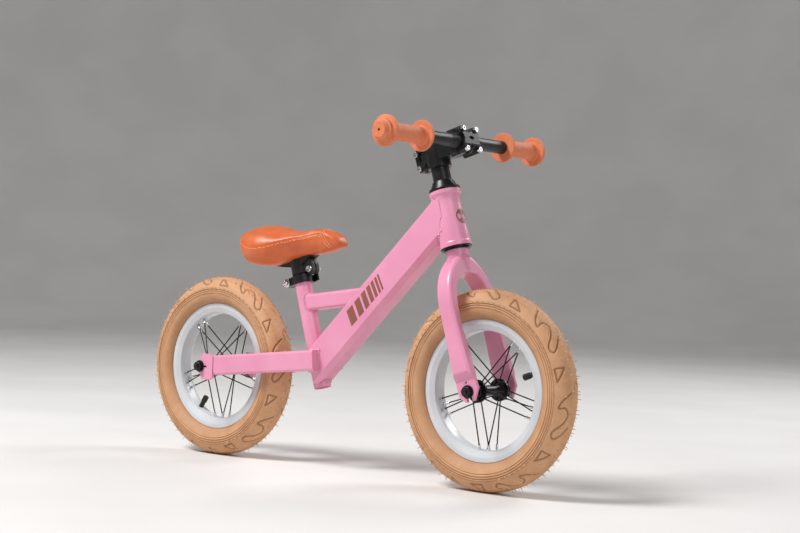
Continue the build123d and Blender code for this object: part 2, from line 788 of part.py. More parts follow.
def add_headset():
    nodes["headset_upper_cup"] = head_frame * to_upper(make_cup())
    nodes["headset_lower_cup"] = head_frame * make_cup()
    nodes["headset_upper_bearing"] = head_frame * to_upper(make_bearing())
    nodes["headset_lower_bearing"] = head_frame * make_bearing()
    nodes["crown_race"] = head_frame * make_crown_race()
    nodes["compression_ring"] = head_frame * make_compression_ring()
    nodes["headset_cover"] = head_frame * make_headset_cover()


def add_steering():
    leg = make_fork_leg()
    grip = make_grip()
    nodes["steerer_tube"] = head_frame * make_steerer()
    nodes["fork_crown"] = head_frame * make_fork_crown()
    nodes["fork_leg_left"] = head_frame * leg
    nodes["fork_leg_right"] = head_frame * other_side(leg)
    nodes["stem_body"] = head_frame * make_stem_body()
    nodes["stem_faceplate"] = head_frame * make_faceplate()
    nodes["faceplate_bolts"] = head_frame * make_faceplate_bolts()
    nodes["stem_pinch_bolts"] = head_frame * make_pinch_bolts()
    nodes["stem_top_cap"] = head_frame * make_top_cap()
    nodes["top_cap_bolt"] = head_frame * make_top_cap_bolt()
    nodes["star_nut"] = head_frame * make_star_nut()
    nodes["handlebar"] = head_frame * make_handlebar()
    nodes["grip_left"] = head_frame * grip
    nodes["grip_right"] = head_frame * other_side(grip)


def add_seat():
    nodes["seat_collar"] = seat_frame * make_collar()
    nodes["collar_skewer"] = seat_frame * make_collar_bolt()
    nodes["collar_nut"] = seat_frame * make_collar_nut()
    nodes["collar_lever"] = seat_frame * make_lever()
    nodes["seat_post"] = seat_frame * make_seat_post()
    nodes["saddle_base"] = make_saddle_base()
    nodes["saddle_pad"] = make_saddle_pad()
    nodes["saddle_clamp_bolt"] = make_saddle_bolt()
    nodes["saddle_clamp_nut"] = make_saddle_nut()


add_frame()
add_headset()
add_steering()
add_seat()
add_wheel("front", wheel_places["front"])
add_wheel("rear", wheel_places["rear"])
add_axle("front", wheel_places["front"], front_old, front_axle_half)
add_axle("rear", wheel_places["rear"], rear_old, rear_axle_half)

os.makedirs("parts", exist_ok=True)
for name, shape in nodes.items():
    shape.label = name
    export_step(shape, "parts/" + name + ".step")
print(len(nodes), "nodes written")
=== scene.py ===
# %% [markdown]
# # A child's balance bike
# The metal parts, wheels and fasteners arrive as finished CAD pieces, in metres, each riding on a body that
# a joint can move. This lesson gives every one of them a believable surface, and builds the parts that CAD
# only blocked in: the moulded tyres, the sewn saddle, the welds, the painted marks and the stitching.
# The frame is loaded first, because every later piece takes its place from it.

# %% Load the frame
import json
from math import atan2, ceil, cos, hypot, pi, radians, sin

import bmesh
import bpy
from mathutils import Matrix, Quaternion, Vector
from mathutils.bvhtree import BVHTree


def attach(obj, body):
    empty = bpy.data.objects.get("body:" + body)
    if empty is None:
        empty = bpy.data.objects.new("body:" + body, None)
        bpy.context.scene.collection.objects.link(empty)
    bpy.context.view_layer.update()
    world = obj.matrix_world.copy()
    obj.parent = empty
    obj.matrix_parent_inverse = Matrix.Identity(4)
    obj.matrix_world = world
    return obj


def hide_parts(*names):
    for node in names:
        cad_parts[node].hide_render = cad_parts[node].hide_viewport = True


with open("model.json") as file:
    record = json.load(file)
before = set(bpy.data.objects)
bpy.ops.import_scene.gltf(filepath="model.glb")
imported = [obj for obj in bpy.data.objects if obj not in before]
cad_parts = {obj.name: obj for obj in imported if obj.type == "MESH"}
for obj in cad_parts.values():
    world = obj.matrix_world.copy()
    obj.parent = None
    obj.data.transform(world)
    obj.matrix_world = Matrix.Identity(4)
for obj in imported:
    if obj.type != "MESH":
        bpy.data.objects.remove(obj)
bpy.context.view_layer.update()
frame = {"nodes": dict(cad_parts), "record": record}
MM = 0.001

# %% [markdown]
# ## Camera
# The camera stands about as high as the tops of the wheels and has a long lens, so that the lines of the
# bike stay straight. It is turned by three plain angles: round the bike, up or down, and a slight roll.

# %% Place the camera
AZIMUTH = radians(38.70)
ELEVATION = radians(-0.17)
ROLL = radians(2.19)
CAMERA_PLACE = (1.6452, -1.9254, 0.3280)
LENS_MM = 70.21
camera = bpy.data.objects.new("camera", bpy.data.cameras.new("camera"))
bpy.context.scene.collection.objects.link(camera)
bpy.context.scene.camera = camera
towards_camera = Vector((sin(AZIMUTH) * cos(ELEVATION), -cos(AZIMUTH) * cos(ELEVATION), sin(ELEVATION)))
camera.location = CAMERA_PLACE
camera.rotation_mode = "QUATERNION"
camera.rotation_quaternion = (-towards_camera).to_track_quat("-Z", "Y") @ Quaternion((0, 0, 1), ROLL)
camera.data.sensor_width = 36
camera.data.lens = LENS_MM
camera.data.clip_start = 0.05
bpy.context.scene.view_settings.view_transform = "Standard"
print("camera stands", round(camera.location.length, 2), "m from the middle of the bike")

# %% [markdown]
# ## Materials
# Every finish is built from shader nodes. A few helpers are enough: one turns a hex colour to the linear
# values a shader wants, one adds a node with its settings and links, and one starts a Principled material.
# Patterns read Object coordinates in metres, so a pattern's size is a real size.

# %% Material helpers
def linear(hex_colour):
    """An sRGB hex colour as linear RGBA."""
    channels = [int(hex_colour[i : i + 2], 16) / 255 for i in (1, 3, 5)]
    return tuple(c / 12.92 if c <= 0.04045 else ((c + 0.055) / 1.055) ** 2.4 for c in channels) + (1.0,)


def add(material, kind, settings=None, links=None):
    """Adds a node. Settings name its sockets or properties, links name a socket and give (node, output)."""
    tree = material.node_tree
    node = tree.nodes.new(kind)
    for name, value in (settings or {}).items():
        if name in node.inputs:
            node.inputs[name].default_value = value
        else:
            setattr(node, name, value)
    for name, (source, output) in (links or {}).items():
        tree.links.new(source.outputs[output], node.inputs[name])
    return node


def principled(name, settings):
    """A new material and its Principled shader."""
    material = bpy.data.materials.new(name)
    material.use_nodes = True
    shader = material.node_tree.nodes["Principled BSDF"]
    for socket, value in settings.items():
        shader.inputs[socket].default_value = value
    return material, shader


def join(material, node, output, shader, socket):
    material.node_tree.links.new(node.outputs[output], shader.inputs[socket])


def pattern(material, kind, size_mm, settings=None):
    """A texture node whose cells or waves are size_mm across on the object."""
    place = add(material, "ShaderNodeTexCoord")
    return add(material, kind, {"Scale": 1000 / size_mm, **(settings or {})}, {"Vector": (place, "Object")})


def tint(material, shader, texture, low_colour, high_colour, low=0.35, high=0.65, output="Fac"):
    """Lets a texture choose between two colours."""
    ramp = add(material, "ShaderNodeValToRGB", {}, {"Fac": (texture, output)})
    ramp.color_ramp.elements[0].position = low
    ramp.color_ramp.elements[1].position = high
    ramp.color_ramp.elements[0].color = linear(low_colour)
    ramp.color_ramp.elements[1].color = linear(high_colour)
    join(material, ramp, "Color", shader, "Base Color")
    return ramp


def vary_roughness(material, shader, texture, low, high, output="Fac"):
    span = add(material, "ShaderNodeMapRange", {"To Min": low, "To Max": high}, {"Value": (texture, output)})
    join(material, span, "Result", shader, "Roughness")


def bump(material, texture, height_mm, output="Fac", under=None):
    """A bump node driven by a texture, on top of another normal if one is given."""
    links = {"Height": (texture, output)}
    if under:
        links["Normal"] = under
    return add(material, "ShaderNodeBump", {"Strength": 1.0, "Distance": height_mm * MM}, links)


def paint_shade_by(material, attribute, colour):
    """Mixes a darker colour in as painted shade, as much as a mesh attribute says."""
    shader = material.node_tree.nodes["Principled BSDF"]
    under = shader.inputs["Base Color"].links[0].from_socket
    depth = add(material, "ShaderNodeAttribute", {"attribute_name": attribute})
    mix = add(material, "ShaderNodeMixRGB", {"Color2": linear(colour)}, {"Fac": (depth, "Fac")})
    material.node_tree.links.new(under, mix.inputs["Color1"])
    join(material, mix, "Color", shader, "Base Color")


def soft_edges(material, radius_mm):
    """Normals that round off sharp machined or sheet edges."""
    return add(material, "ShaderNodeBevel", {"Radius": radius_mm * MM, "samples": 4}), "Normal"


# %% [markdown]
# ### Paints and metals
# The frame is powder coated: pigment baked to a smooth satin skin with a faint orange peel about 2 mm across.
# The stem, collar and bar are black anodised or painted aluminium, whose fine blasted grain breaks the
# highlights. Screws and nipples are bright plated steel, with the smallest variation in their polish.

# %% Paints and metals
def powder_coat(name, low_colour, high_colour, roughness, coat):
    material, shader = principled(name, {"IOR": 1.5, "Coat Weight": coat, "Coat Roughness": 0.16})
    clouds = pattern(material, "ShaderNodeTexNoise", 60, {"Detail": 2.0})
    peel = pattern(material, "ShaderNodeTexNoise", 2.2, {"Detail": 1.0})
    tint(material, shader, clouds, low_colour, high_colour, 0.3, 0.7)
    vary_roughness(material, shader, peel, roughness - 0.04, roughness + 0.06)
    join(material, bump(material, peel, 0.02, under=soft_edges(material, 0.9)), "Normal", shader, "Normal")
    return material


def blasted_metal(name, low_colour, high_colour, roughness, metallic, grain_mm=0.6, edge_mm=0.5):
    material, shader = principled(name, {"Metallic": metallic})
    grain = pattern(material, "ShaderNodeTexNoise", grain_mm, {"Detail": 3.0})
    patches = pattern(material, "ShaderNodeTexNoise", 18, {"Detail": 3.0})
    tint(material, shader, patches, low_colour, high_colour)
    vary_roughness(material, shader, patches, roughness - 0.06, roughness + 0.06)
    normal = bump(material, grain, 0.015, under=soft_edges(material, edge_mm))
    join(material, normal, "Normal", shader, "Normal")
    return material


pink_powder_coat = powder_coat("pink_powder_coat", "#DF8DAE", "#E699B7", 0.34, 0.4)
white_powder_coat = powder_coat("white_powder_coat", "#C6C9CD", "#D3D6DA", 0.3, 0.3)
brown_print = powder_coat("brown_print", "#85503F", "#93594A", 0.45, 0.1)
black_anodised = blasted_metal("black_anodised_aluminium", "#141415", "#1E1E20", 0.34, 0.3)
bar_anodised = blasted_metal("bar_satin_anodised", "#1B1B1D", "#262628", 0.42, 0.3, 0.9)
hub_anodised = blasted_metal("hub_gloss_anodised", "#0F0F10", "#18181A", 0.26, 0.3)
spoke_black = blasted_metal("spoke_black_oxide", "#131314", "#202022", 0.4, 0.6)
plated_steel = blasted_metal("plated_steel", "#C9CACC", "#DADBDD", 0.18, 1.0, 0.8, 0.25)
bearing_steel = blasted_metal("bearing_steel", "#B4B5B8", "#C4C5C8", 0.22, 1.0)
raw_aluminium = blasted_metal("raw_aluminium", "#A9ABAE", "#BBBDC0", 0.38, 1.0)
print("paints and metals:", len(bpy.data.materials))

# %% [markdown]
# ### Rubber, plastic and cover
# Tan tyre rubber is matt and slightly cloudy, with a chalky bloom. The grips are soft moulded rubber, with
# tiny lighter and darker specks. The saddle is covered in leatherette: a pebbled grain about 1.2 mm across
# pressed into vinyl, glossier on the ridges than in the valleys. The saddle base is moulded with a fine
# spark texture.

# %% Rubber, plastic and cover
def moulded_rubber(name, low_colour, high_colour, roughness, speck_mm, bloom_mm):
    material, shader = principled(name, {"IOR": 1.52, "Specular IOR Level": 0.4})
    bloom = pattern(material, "ShaderNodeTexNoise", bloom_mm, {"Detail": 5.0, "Roughness": 0.62})
    specks = pattern(material, "ShaderNodeTexNoise", speck_mm, {"Detail": 2.0})
    tint(material, shader, bloom, low_colour, high_colour, 0.3, 0.72)
    vary_roughness(material, shader, specks, roughness - 0.08, roughness + 0.1)
    join(material, bump(material, specks, 0.06), "Normal", shader, "Normal")
    return material


def leatherette(name, low_colour, high_colour):
    material, shader = principled(name, {"IOR": 1.48, "Coat Weight": 0.12, "Coat Roughness": 0.3})
    pebbles = pattern(material, "ShaderNodeTexVoronoi", 1.2, {"feature": "SMOOTH_F1", "Smoothness": 0.6})
    clouds = pattern(material, "ShaderNodeTexNoise", 25, {"Detail": 3.0})
    tint(material, shader, clouds, low_colour, high_colour)
    vary_roughness(material, shader, pebbles, 0.34, 0.5, "Distance")
    join(material, bump(material, pebbles, -0.12, "Distance"), "Normal", shader, "Normal")
    return material


tan_rubber = moulded_rubber("tan_tyre_rubber", "#C08E66", "#D2A27A", 0.62, 1.4, 30)
# painted shade: a darker tan in the grooves and between the ribs, and the tan also darkens towards the rim
paint_shade_by(tan_rubber, "depth", "#7E563A")
# the vent hairs are a lighter tan than the tyre: painted light, for light shining through them from behind
hair_painted_backlight = moulded_rubber("tan_vent_hair_painted_backlight", "#D2A57E", "#DFB48C", 0.6, 1.0, 8)
grip_rubber = moulded_rubber("orange_grip_rubber", "#CF734C", "#DC8259", 0.6, 1.1, 6)
black_rubber = moulded_rubber("black_valve_rubber", "#141414", "#1D1D1D", 0.55, 1.0, 10)
spark_plastic = moulded_rubber("black_moulded_nylon", "#111112", "#19191A", 0.45, 0.8, 14)
saddle_cover = leatherette("orange_leatherette", "#C65C2A", "#D46A34")
thread = moulded_rubber("orange_thread", "#F2B48C", "#F7C29D", 0.7, 0.4, 2)
print("all finishes:", len(bpy.data.materials))

# %% [markdown]
# ### Dress the CAD pieces
# A CAD piece keeps its mesh and gets its surface through its material slot. One table pairs the record's
# slots with the finishes above, so a piece and its record can't disagree.

# %% Dress the CAD pieces
FINISHES = {
    "pink_paint": pink_powder_coat,
    "black_metal": black_anodised,
    "bar_black": bar_anodised,
    "hub_black": hub_anodised,
    "spoke_black": spoke_black,
    "plated_steel": plated_steel,
    "bearing_steel": bearing_steel,
    "raw_aluminium": raw_aluminium,
    "rim_paint": white_powder_coat,
    "tan_tyre": tan_rubber,
    "black_rubber": black_rubber,
    "black_plastic": spark_plastic,
    "orange_rubber": grip_rubber,
    "orange_leather": saddle_cover,
}
for subpart in frame["record"]["subparts"]:
    mesh = frame["nodes"][subpart["node"]].data
    mesh.materials.clear()
    mesh.materials.append(FINISHES[subpart["material_slot"]])

# %% [markdown]
# ## Helpers for new pieces
# A new piece starts as an empty bmesh, is shaped by operators in the row's own frame, and is then turned into
# an object at the origin. The head tube leans back at 73 degrees, so pieces on it are shaped in a frame whose
# Z runs up the tube and whose X points ahead of it.

# %% Piece helpers
LEAN = radians(73)
RISE = Vector((-cos(LEAN), 0, sin(LEAN)))
AHEAD = Vector((sin(LEAN), 0, cos(LEAN)))


def tilted(origin):
    """A matrix for millimetres along a 73 degree tube: X ahead of it, Y to the left, Z up it."""
    columns = [AHEAD, Vector((0, 1, 0)), RISE]
    turn = Matrix([[c[row] for c in columns] for row in range(3)]).to_4x4()
    return Matrix.Translation(Vector(origin) * MM) @ turn @ Matrix.Scale(MM, 4)


HEAD = tilted((212.3, 0, 367.6))
IN_MM = Matrix.Scale(MM, 4)


def finish_piece(name, bm, material, body, place=IN_MM, sharp=40, replaces=()):
    """Turns a bmesh in millimetres into a smooth-shaded object that rides on a body."""
    bmesh.ops.transform(bm, matrix=place, verts=bm.verts)
    bmesh.ops.recalc_face_normals(bm, faces=bm.faces)
    mesh = bpy.data.meshes.new(name)
    bm.to_mesh(mesh)
    bm.free()
    mesh.shade_smooth()
    mesh.set_sharp_from_angle(angle=radians(sharp))
    mesh.materials.append(material)
    piece = bpy.data.objects.new(name, mesh)
    bpy.context.scene.collection.objects.link(piece)
    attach(piece, body)
    if replaces:
        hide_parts(*replaces)
    return piece


def spin_outline(bm, outline, steps):
    """Spins a closed outline of (radius, y) points about Y."""
    verts = [bm.verts.new((r, y, 0)) for r, y in outline]
    edges = [bm.edges.new((a, b)) for a, b in zip(verts, verts[1:] + verts[:1])]
    bmesh.ops.spin(
        bm, geom=verts + edges, cent=(0, 0, 0), axis=(0, 1, 0), angle=2 * pi, steps=steps, use_merge=True
    )


def arc(start, through, end, steps):
    """Points along the arc through three (radius, y) points, without the last one."""
    (ax, ay), (bx, by), (cx, cy) = start, through, end
    d = 2 * (ax * (by - cy) + bx * (cy - ay) + cx * (ay - by))
    a2, b2, c2 = ax * ax + ay * ay, bx * bx + by * by, cx * cx + cy * cy
    ux = (a2 * (by - cy) + b2 * (cy - ay) + c2 * (ay - by)) / d
    uy = (a2 * (cx - bx) + b2 * (ax - cx) + c2 * (bx - ax)) / d
    first = atan2(ay - uy, ax - ux)
    last = atan2(cy - uy, cx - ux)
    radius = hypot(ax - ux, ay - uy)
    turn = (last - first + pi) % (2 * pi) - pi
    steps_at = [first + turn * k / steps for k in range(steps)]
    return [(ux + radius * cos(t), uy + radius * sin(t)) for t in steps_at]


# %% [markdown]
# ## Tyres
# A tyre is rubber moulded in two half moulds. Near the rim its wall is plain, then come three fine ribs, a
# raised line where the tread starts, and a round tread with wavy hooked grooves and small triangles, 1.6 mm
# deep. The outline is spun round the axle in enough steps for a groove to be two or three faces wide, and the
# groove is pressed in by moving vertices. A bump pattern would be quicker, but it would vanish from the mesh.
# Each vertex also keeps a depth attribute for painted shade in the grooves and rib valleys, darker towards
# the rim.

# %% Tyre outline
TREAD_EDGE = 26.2
TREAD_START = 135
CROWN = 153.0
# a point is on the outer skin when it lies farther than this from the middle of the tyre's section
SECTION_MIDDLE = 128
SKIN_FROM_MIDDLE = 24.6


def wall_outline():
    """The plain wall, ribs and raised edge line of one side, from the rim out to the tread."""
    wall = arc((108.6, 17.5), (116.5, 24.4), (123.4, 26.9), 7)
    ribs = [(123.4, 26.9), (124.0, 26.1), (125.0, 26.2), (125.6, 27.3), (127.2, 27.4), (127.8, 26.6)]
    ribs += [(128.8, 26.6), (129.4, 27.4), (130.8, 27.3), (131.3, 26.4), (132.1, 26.3), (132.7, 27.6)]
    return wall + ribs + [(133.9, 27.5), (134.8, 26.6)]


def tyre_outline():
    tread_half = arc((135.4, TREAD_EDGE), (146.9, 18.3), (CROWN, 0), 32)
    side = [(107.9, 14.0)] + wall_outline() + tread_half
    outer = side + [(CROWN, 0)] + [(r, -y) for r, y in reversed(side)]
    bead = [(102.8, 14.0), (101.6, 13.2), (101.6, 11.2)]
    inside = [(101.6, 11.2), (108.5, 12.2), (117, 20.5), (128, 24.3)]
    inside += [(136.5, 22.4), (142.6, 18.4), (147, 9.5)]
    inner = [(r, -y) for r, y in bead[:-1] + inside] + [(148.4, 0)] + list(reversed(inside)) + bead[1::-1]
    return outer + inner


def on_outer_skin(radius, y):
    return hypot(radius - SECTION_MIDDLE, y) > SKIN_FROM_MIDDLE


def tread_distances():
    """Distance across the tread from its edge line, for each y of the outline."""
    row = [(r, y) for r, y in tyre_outline() if r > TREAD_START and 0 <= y <= TREAD_EDGE]
    half = sorted({(round(y, 4), r) for r, y in row if on_outer_skin(r, y)}, reverse=True)
    distance = {half[0][0]: 0.0}
    for (y0, r0), (y1, r1) in zip(half, half[1:]):
        distance[y1] = distance[y0] + hypot(y1 - y0, r1 - r0)
    return distance


print("tyre outline points:", len(tyre_outline()))

# %% [markdown]
# The groove lines are drawn flat, as a mould maker would: millimetres along the tread and millimetres in from
# its edge line. One pitch of the pattern is repeated seven times, and the far side is half a pitch out of
# step. The depth at a point follows from its distance to the nearest line.

# %% Press the grooves
PITCHES = 7
STEPS_PER_PITCH = 105
PITCH_MM = 2 * pi * 148 / PITCHES
GROOVE_HALF = 1.0
GROOVE_DEEP = 1.6
GROOVE_WALL = 1.4
GROOVE_REACH = GROOVE_HALF + 0.9
# the grooves are pressed towards a circle of this radius inside the tyre
PRESS_TOWARDS = 110
TRIANGLE = [(9, 4.5), (9, 19.5), (30, 5.5), (9, 4.5)]
HOOK = [(46, 27), (57, 12), (71, 6), (66, 18), (78, 25), (92, 18), (104, 7), (113, 5.5), (119, 12), (96, 29)]
CENTRE_WAVE = [(-5, 34), (17, 38), (40, 33.5), (62, 38), (84, 34), (106, 38), (128, 34), (150, 38)]


def line_distance(u, v, start, end):
    """Distance in the flat from a point to a piece of line."""
    du, dv = end[0] - start[0], end[1] - start[1]
    share = max(0, min(1, ((u - start[0]) * du + (v - start[1]) * dv) / (du * du + dv * dv)))
    return hypot(u - start[0] - share * du, v - start[1] - share * dv)


def rounded(points, near=0.78, far=0.22):
    """Corners cut twice, so that a groove bends instead of breaking."""
    for _ in range(2):
        cut = [points[0]]
        for (u0, v0), (u1, v1) in zip(points, points[1:]):
            cut.append((u0 * near + u1 * far, v0 * near + v1 * far))
            cut.append((u0 * far + u1 * near, v0 * far + v1 * near))
        points = cut + [points[-1]]
    return points


GROOVE_LINES = [TRIANGLE, rounded(HOOK), rounded(CENTRE_WAVE)]


def groove_depth(u, v):
    near = min(line_distance(u, v, a, b) for line in GROOVE_LINES for a, b in zip(line, line[1:]))
    if near > GROOVE_REACH:
        return 0.0
    share = max(0.0, min(1.0, (GROOVE_REACH - near) / GROOVE_WALL))
    return GROOVE_DEEP * share * share * (3 - 2 * share)


def make_tyre_mesh():
    """The spun tyre with its grooves pressed in, and its depth attribute: how much painted shade each vertex
    gets.
    """
    bm = bmesh.new()
    spin_outline(bm, tyre_outline(), STEPS_PER_PITCH * PITCHES)
    across = tread_distances()
    deep = bm.verts.layers.float.new("depth")
    depths = {}
    for vert in bm.verts:
        x, y, z = vert.co
        radius = hypot(x, z)
        row = round(abs(y), 4)
        # painted shade in the valleys between the ribs next to the tread; below the ribs the tan darkens
        # towards the rim
        if 123.8 < radius < 135 and 25.5 < row < 26.8:
            vert[deep] = 0.55
        elif radius < 123:
            vert[deep] = 0.3 * (123 - radius) / 15
        if row not in across or not on_outer_skin(radius, y):
            continue
        step = round(-atan2(z, x) / (2 * pi) * STEPS_PER_PITCH * PITCHES)
        step = (step + (STEPS_PER_PITCH // 2 if y > 0 else 0)) % STEPS_PER_PITCH
        if (step, row) not in depths:
            depths[step, row] = groove_depth(step / STEPS_PER_PITCH * PITCH_MM, across[row])
        out = radius - PRESS_TOWARDS
        inward = Vector((x / radius * out, y, z / radius * out)).normalized()
        vert.co -= inward * depths[step, row]
        # painted shade in the grooves, more where they are pressed deeper
        vert[deep] = 0.75 * depths[step, row] / GROOVE_DEEP
    return bm


# %% [markdown]
# Vent hairs are the short whiskers left where rubber ran up the mould's vent holes. They stand straight off
# the tread in rows. There are hundreds, so each is a four-sided cone. None grow where the tyre rests.

# %% Vent hairs and both tyres
HAIR_ROWS = [(152.3, 6.5), (147.8, 16.0), (134.3, 27.0)]
HAIRS_PER_ROW = 84
HAIR_LENGTH = 6.6
# the sine of a hair's angle round the wheel, below which it would stand under the tyre
RESTING = -0.955


def make_hairs():
    bm = bmesh.new()
    for row, (radius, y) in enumerate(HAIR_ROWS):
        for side in (-1, 1):
            for k in range(HAIRS_PER_ROW):
                turn = 2 * pi * (k + 0.33 * row + (0.5 if side > 0 else 0)) / HAIRS_PER_ROW
                if sin(turn) < RESTING:
                    continue
                lean = Vector((radius - 122, side * y * 1.15, 0)).normalized()
                length = HAIR_LENGTH * (0.72 + 0.28 * sin(k * 2.7 + row * 1.9 + side))
                stand = lean.to_track_quat("Z", "Y").to_matrix().to_4x4()
                base = Matrix.Translation((radius - 0.3, side * y, 0))
                rooted = base @ stand @ Matrix.Translation((0, 0, length / 2))
                place = Matrix.Rotation(-turn, 4, "Y") @ rooted
                bmesh.ops.create_cone(
                    bm, cap_ends=True, segments=4, radius1=0.8, radius2=0.38, depth=length, matrix=place
                )
    return bm


WHEEL_PLACES = {"front": Vector((282.5, 0, 153.0)), "rear": Vector((-282.5, 0, 153.0))}
TYRE_TURNS = {"front": radians(-21.0), "rear": radians(13.0)}


def wheel_matrix(name, turn):
    return IN_MM @ Matrix.Translation(WHEEL_PLACES[name]) @ Matrix.Rotation(turn, 4, "Y")


for wheel in ("front", "rear"):
    tyre = finish_piece(
        wheel + "_tyre_moulded",
        make_tyre_mesh(),
        tan_rubber,
        wheel + "_wheel",
        place=wheel_matrix(wheel, TYRE_TURNS[wheel]),
        sharp=60,
        replaces=[wheel + "_tyre"],
    )
    hairs = finish_piece(
        wheel + "_tyre_hairs",
        make_hairs(),
        hair_painted_backlight,
        wheel + "_wheel",
        place=wheel_matrix(wheel, 0),
    )
    print(wheel, "tyre faces:", len(tyre.data.polygons), "hair faces:", len(hairs.data.polygons))

# %% [markdown]
# ## Saddle
# A child's saddle is a block of foam on a plastic base under a sewn leatherette cover. A crowned top panel is
# bounded by a seam that runs from the tail, round the widest part and along to the nose, where a separate cap
# crosses over. The foam is drawn as a set of sections along the saddle, and a grid is wrapped round them.

# %% Saddle sections
SADDLE_TAIL = -222.0
# distance from the tail, width, underside height, top height, height of the seam as a share
SADDLE_STATIONS = [
    (0.6, 36, 351, 373, 0.84),
    (3, 54, 344, 378, 0.82),
    (9, 80, 337, 384.5, 0.74),
    (20, 104, 331, 390.5, 0.60),
    (34, 114, 328.5, 394.2, 0.50),
    (62, 123, 328.5, 394.5, 0.44),
    (96, 104, 337, 387.5, 0.56),
    (128, 72, 348.5, 386.3, 0.72),
    (166, 50, 354, 391, 0.80),
    (184, 46, 357.5, 389, 0.77),
    (192, 43, 358.5, 386, 0.74),
    (200, 36, 360.5, 381.5, 0.66),
    (204.5, 28, 361.5, 376, 0.60),
    (206.3, 22, 362, 372, 0.55),
]


def station_at(reach):
    """Width, underside, top and seam share at any distance from the tail, on a smooth curve."""
    rows = SADDLE_STATIONS
    reach = max(rows[0][0], min(rows[-1][0], reach))
    index = max(i for i in range(len(rows) - 1) if rows[i][0] <= reach)
    a, b = rows[index], rows[index + 1]
    before, after = rows[max(index - 1, 0)], rows[min(index + 2, len(rows) - 1)]
    t = (reach - a[0]) / (b[0] - a[0])
    values = []
    for k in range(1, 5):
        slope_a = (b[k] - before[k]) / (b[0] - before[0]) * (b[0] - a[0])
        slope_b = (after[k] - a[k]) / (after[0] - a[0]) * (b[0] - a[0])
        h00, h10 = 2 * t**3 - 3 * t**2 + 1, t**3 - 2 * t**2 + t
        h01, h11 = -2 * t**3 + 3 * t**2, t**3 - t**2
        values.append(h00 * a[k] + h10 * slope_a + h01 * b[k] + h11 * slope_b)
    return values


def cover_point(reach, turn, shrink=0.0):
    """A point of the cover. Turn 0 is the left seam, 90 degrees the top, 180 the right seam, 270 beneath."""
    width, low, top, share = station_at(reach)
    seam = low + share * (top - low)
    c, s = cos(turn), sin(turn)
    half = width / 2 - shrink
    if s >= 0:
        return Vector((SADDLE_TAIL + reach, half * c, seam + (top - shrink - seam) * s**0.92))
    side = half * (1 if c > 0 else -1) * abs(c) ** 0.55
    tuck = 1 - 0.10 * abs(s)
    return Vector((SADDLE_TAIL + reach, side * tuck, seam - (seam - low - shrink) * abs(s) ** 0.72))


def make_saddle_shape():
    """A grid wrapped round the sections, its edges merged and its ends filled."""
    rows, columns = 60, 56
    bm = bmesh.new()
    bmesh.ops.create_grid(bm, x_segments=rows, y_segments=columns, size=0.5)
    first, last = SADDLE_STATIONS[0][0], SADDLE_STATIONS[-1][0]
    for vert in bm.verts:
        along = (1 - cos((vert.co.x + 0.5) * pi)) / 2
        vert.co = cover_point(first + along * (last - first), (vert.co.y + 0.5) * 2 * pi, shrink=1.0)
    bmesh.ops.remove_doubles(bm, verts=bm.verts, dist=0.01)
    ends = [e for e in bm.edges if e.is_boundary]
    bmesh.ops.holes_fill(bm, edges=ends, sides=0)
    return bm


print("saddle stations:", len(SADDLE_STATIONS))

# %% [markdown]
# A short cloth simulation makes the cover look stuffed: the closed shape is blown up a little by inner
# pressure with gravity off, and no point may move more than 3 mm. A remesh first gives it even
# faces. The seams come after it, since a remesh would wipe them out.

# %% Stuff the saddle
SWELL_CAP = 3.0 * MM
INNER_PRESSURE = 4.0
EVEN_FACE = 3.5 * MM


def apply_modifiers(piece):
    """Bakes an object's modifiers into its mesh."""
    evaluated = piece.evaluated_get(bpy.context.evaluated_depsgraph_get())
    baked = bpy.data.meshes.new_from_object(evaluated)
    piece.modifiers.clear()
    piece.data = baked


def stuff(piece, pressure):
    """Runs the cloth solver for 20 frames and applies its result with a cap on how far a point moves."""
    before = [v.co.copy() for v in piece.data.vertices]
    cloth = piece.modifiers.new("cloth", "CLOTH")
    cloth.settings.use_pressure = True
    cloth.settings.uniform_pressure_force = pressure
    cloth.settings.effector_weights.gravity = 0
    cloth.settings.tension_stiffness = 40
    cloth.settings.bending_stiffness = 2
    cloth.collision_settings.use_collision = False
    for frame_number in range(1, 21):
        bpy.context.scene.frame_set(frame_number)
    apply_modifiers(piece)
    for vert, rest in zip(piece.data.vertices, before):
        move = vert.co - rest
        if move.length > SWELL_CAP:
            vert.co = rest + move.normalized() * SWELL_CAP
    bpy.context.scene.frame_set(1)


saddle = finish_piece(
    "saddle_cover",
    make_saddle_shape(),
    saddle_cover,
    "seat",
    sharp=180,
    replaces=["saddle_pad"],
)
remesh = saddle.modifiers.new("even_faces", "REMESH")
remesh.mode = "VOXEL"
remesh.voxel_size = EVEN_FACE
apply_modifiers(saddle)
stuff(saddle, INNER_PRESSURE)
finer = saddle.modifiers.new("finer", "SUBSURF")
finer.levels = finer.render_levels = 1
apply_modifiers(saddle)
saddle.data.shade_smooth()
print("saddle faces:", len(saddle.data.polygons))

# %% [markdown]
# The seams are pressed in as shallow grooves, then each stitch is a small pill laid on the surface beside
# the groove. A lookup tree finds the nearest point of the cover, so every stitch sits on it whatever the
# simulation did. Two rows cross the nose where the cap joins.

# %% Seams
NOSE_SEAM = 171.5
NOSE_LEAN = 0.55
SEAM_HALF = 2.6
SEAM_DEEP = 0.9
SEAM_STEP = 0.5


def edge_seam(side):
    """Points along the seam of one side, from the tail to the nose seam."""
    turn = 0 if side > 0 else pi
    return [cover_point(0.6 + k * 1.5, turn) * MM for k in range(ceil((NOSE_SEAM + 4) / 1.5))]


def nose_row(shift):
    """Points of a row over the nose, from one lower edge over the top to the other."""
    points = []
    for k in range(61):
        turn = radians(-62 + 304 * k / 60)
        top = station_at(NOSE_SEAM)[2]
        height = cover_point(NOSE_SEAM, turn).z
        points.append(cover_point(NOSE_SEAM + shift + NOSE_LEAN * (top - height), turn) * MM)
    return points


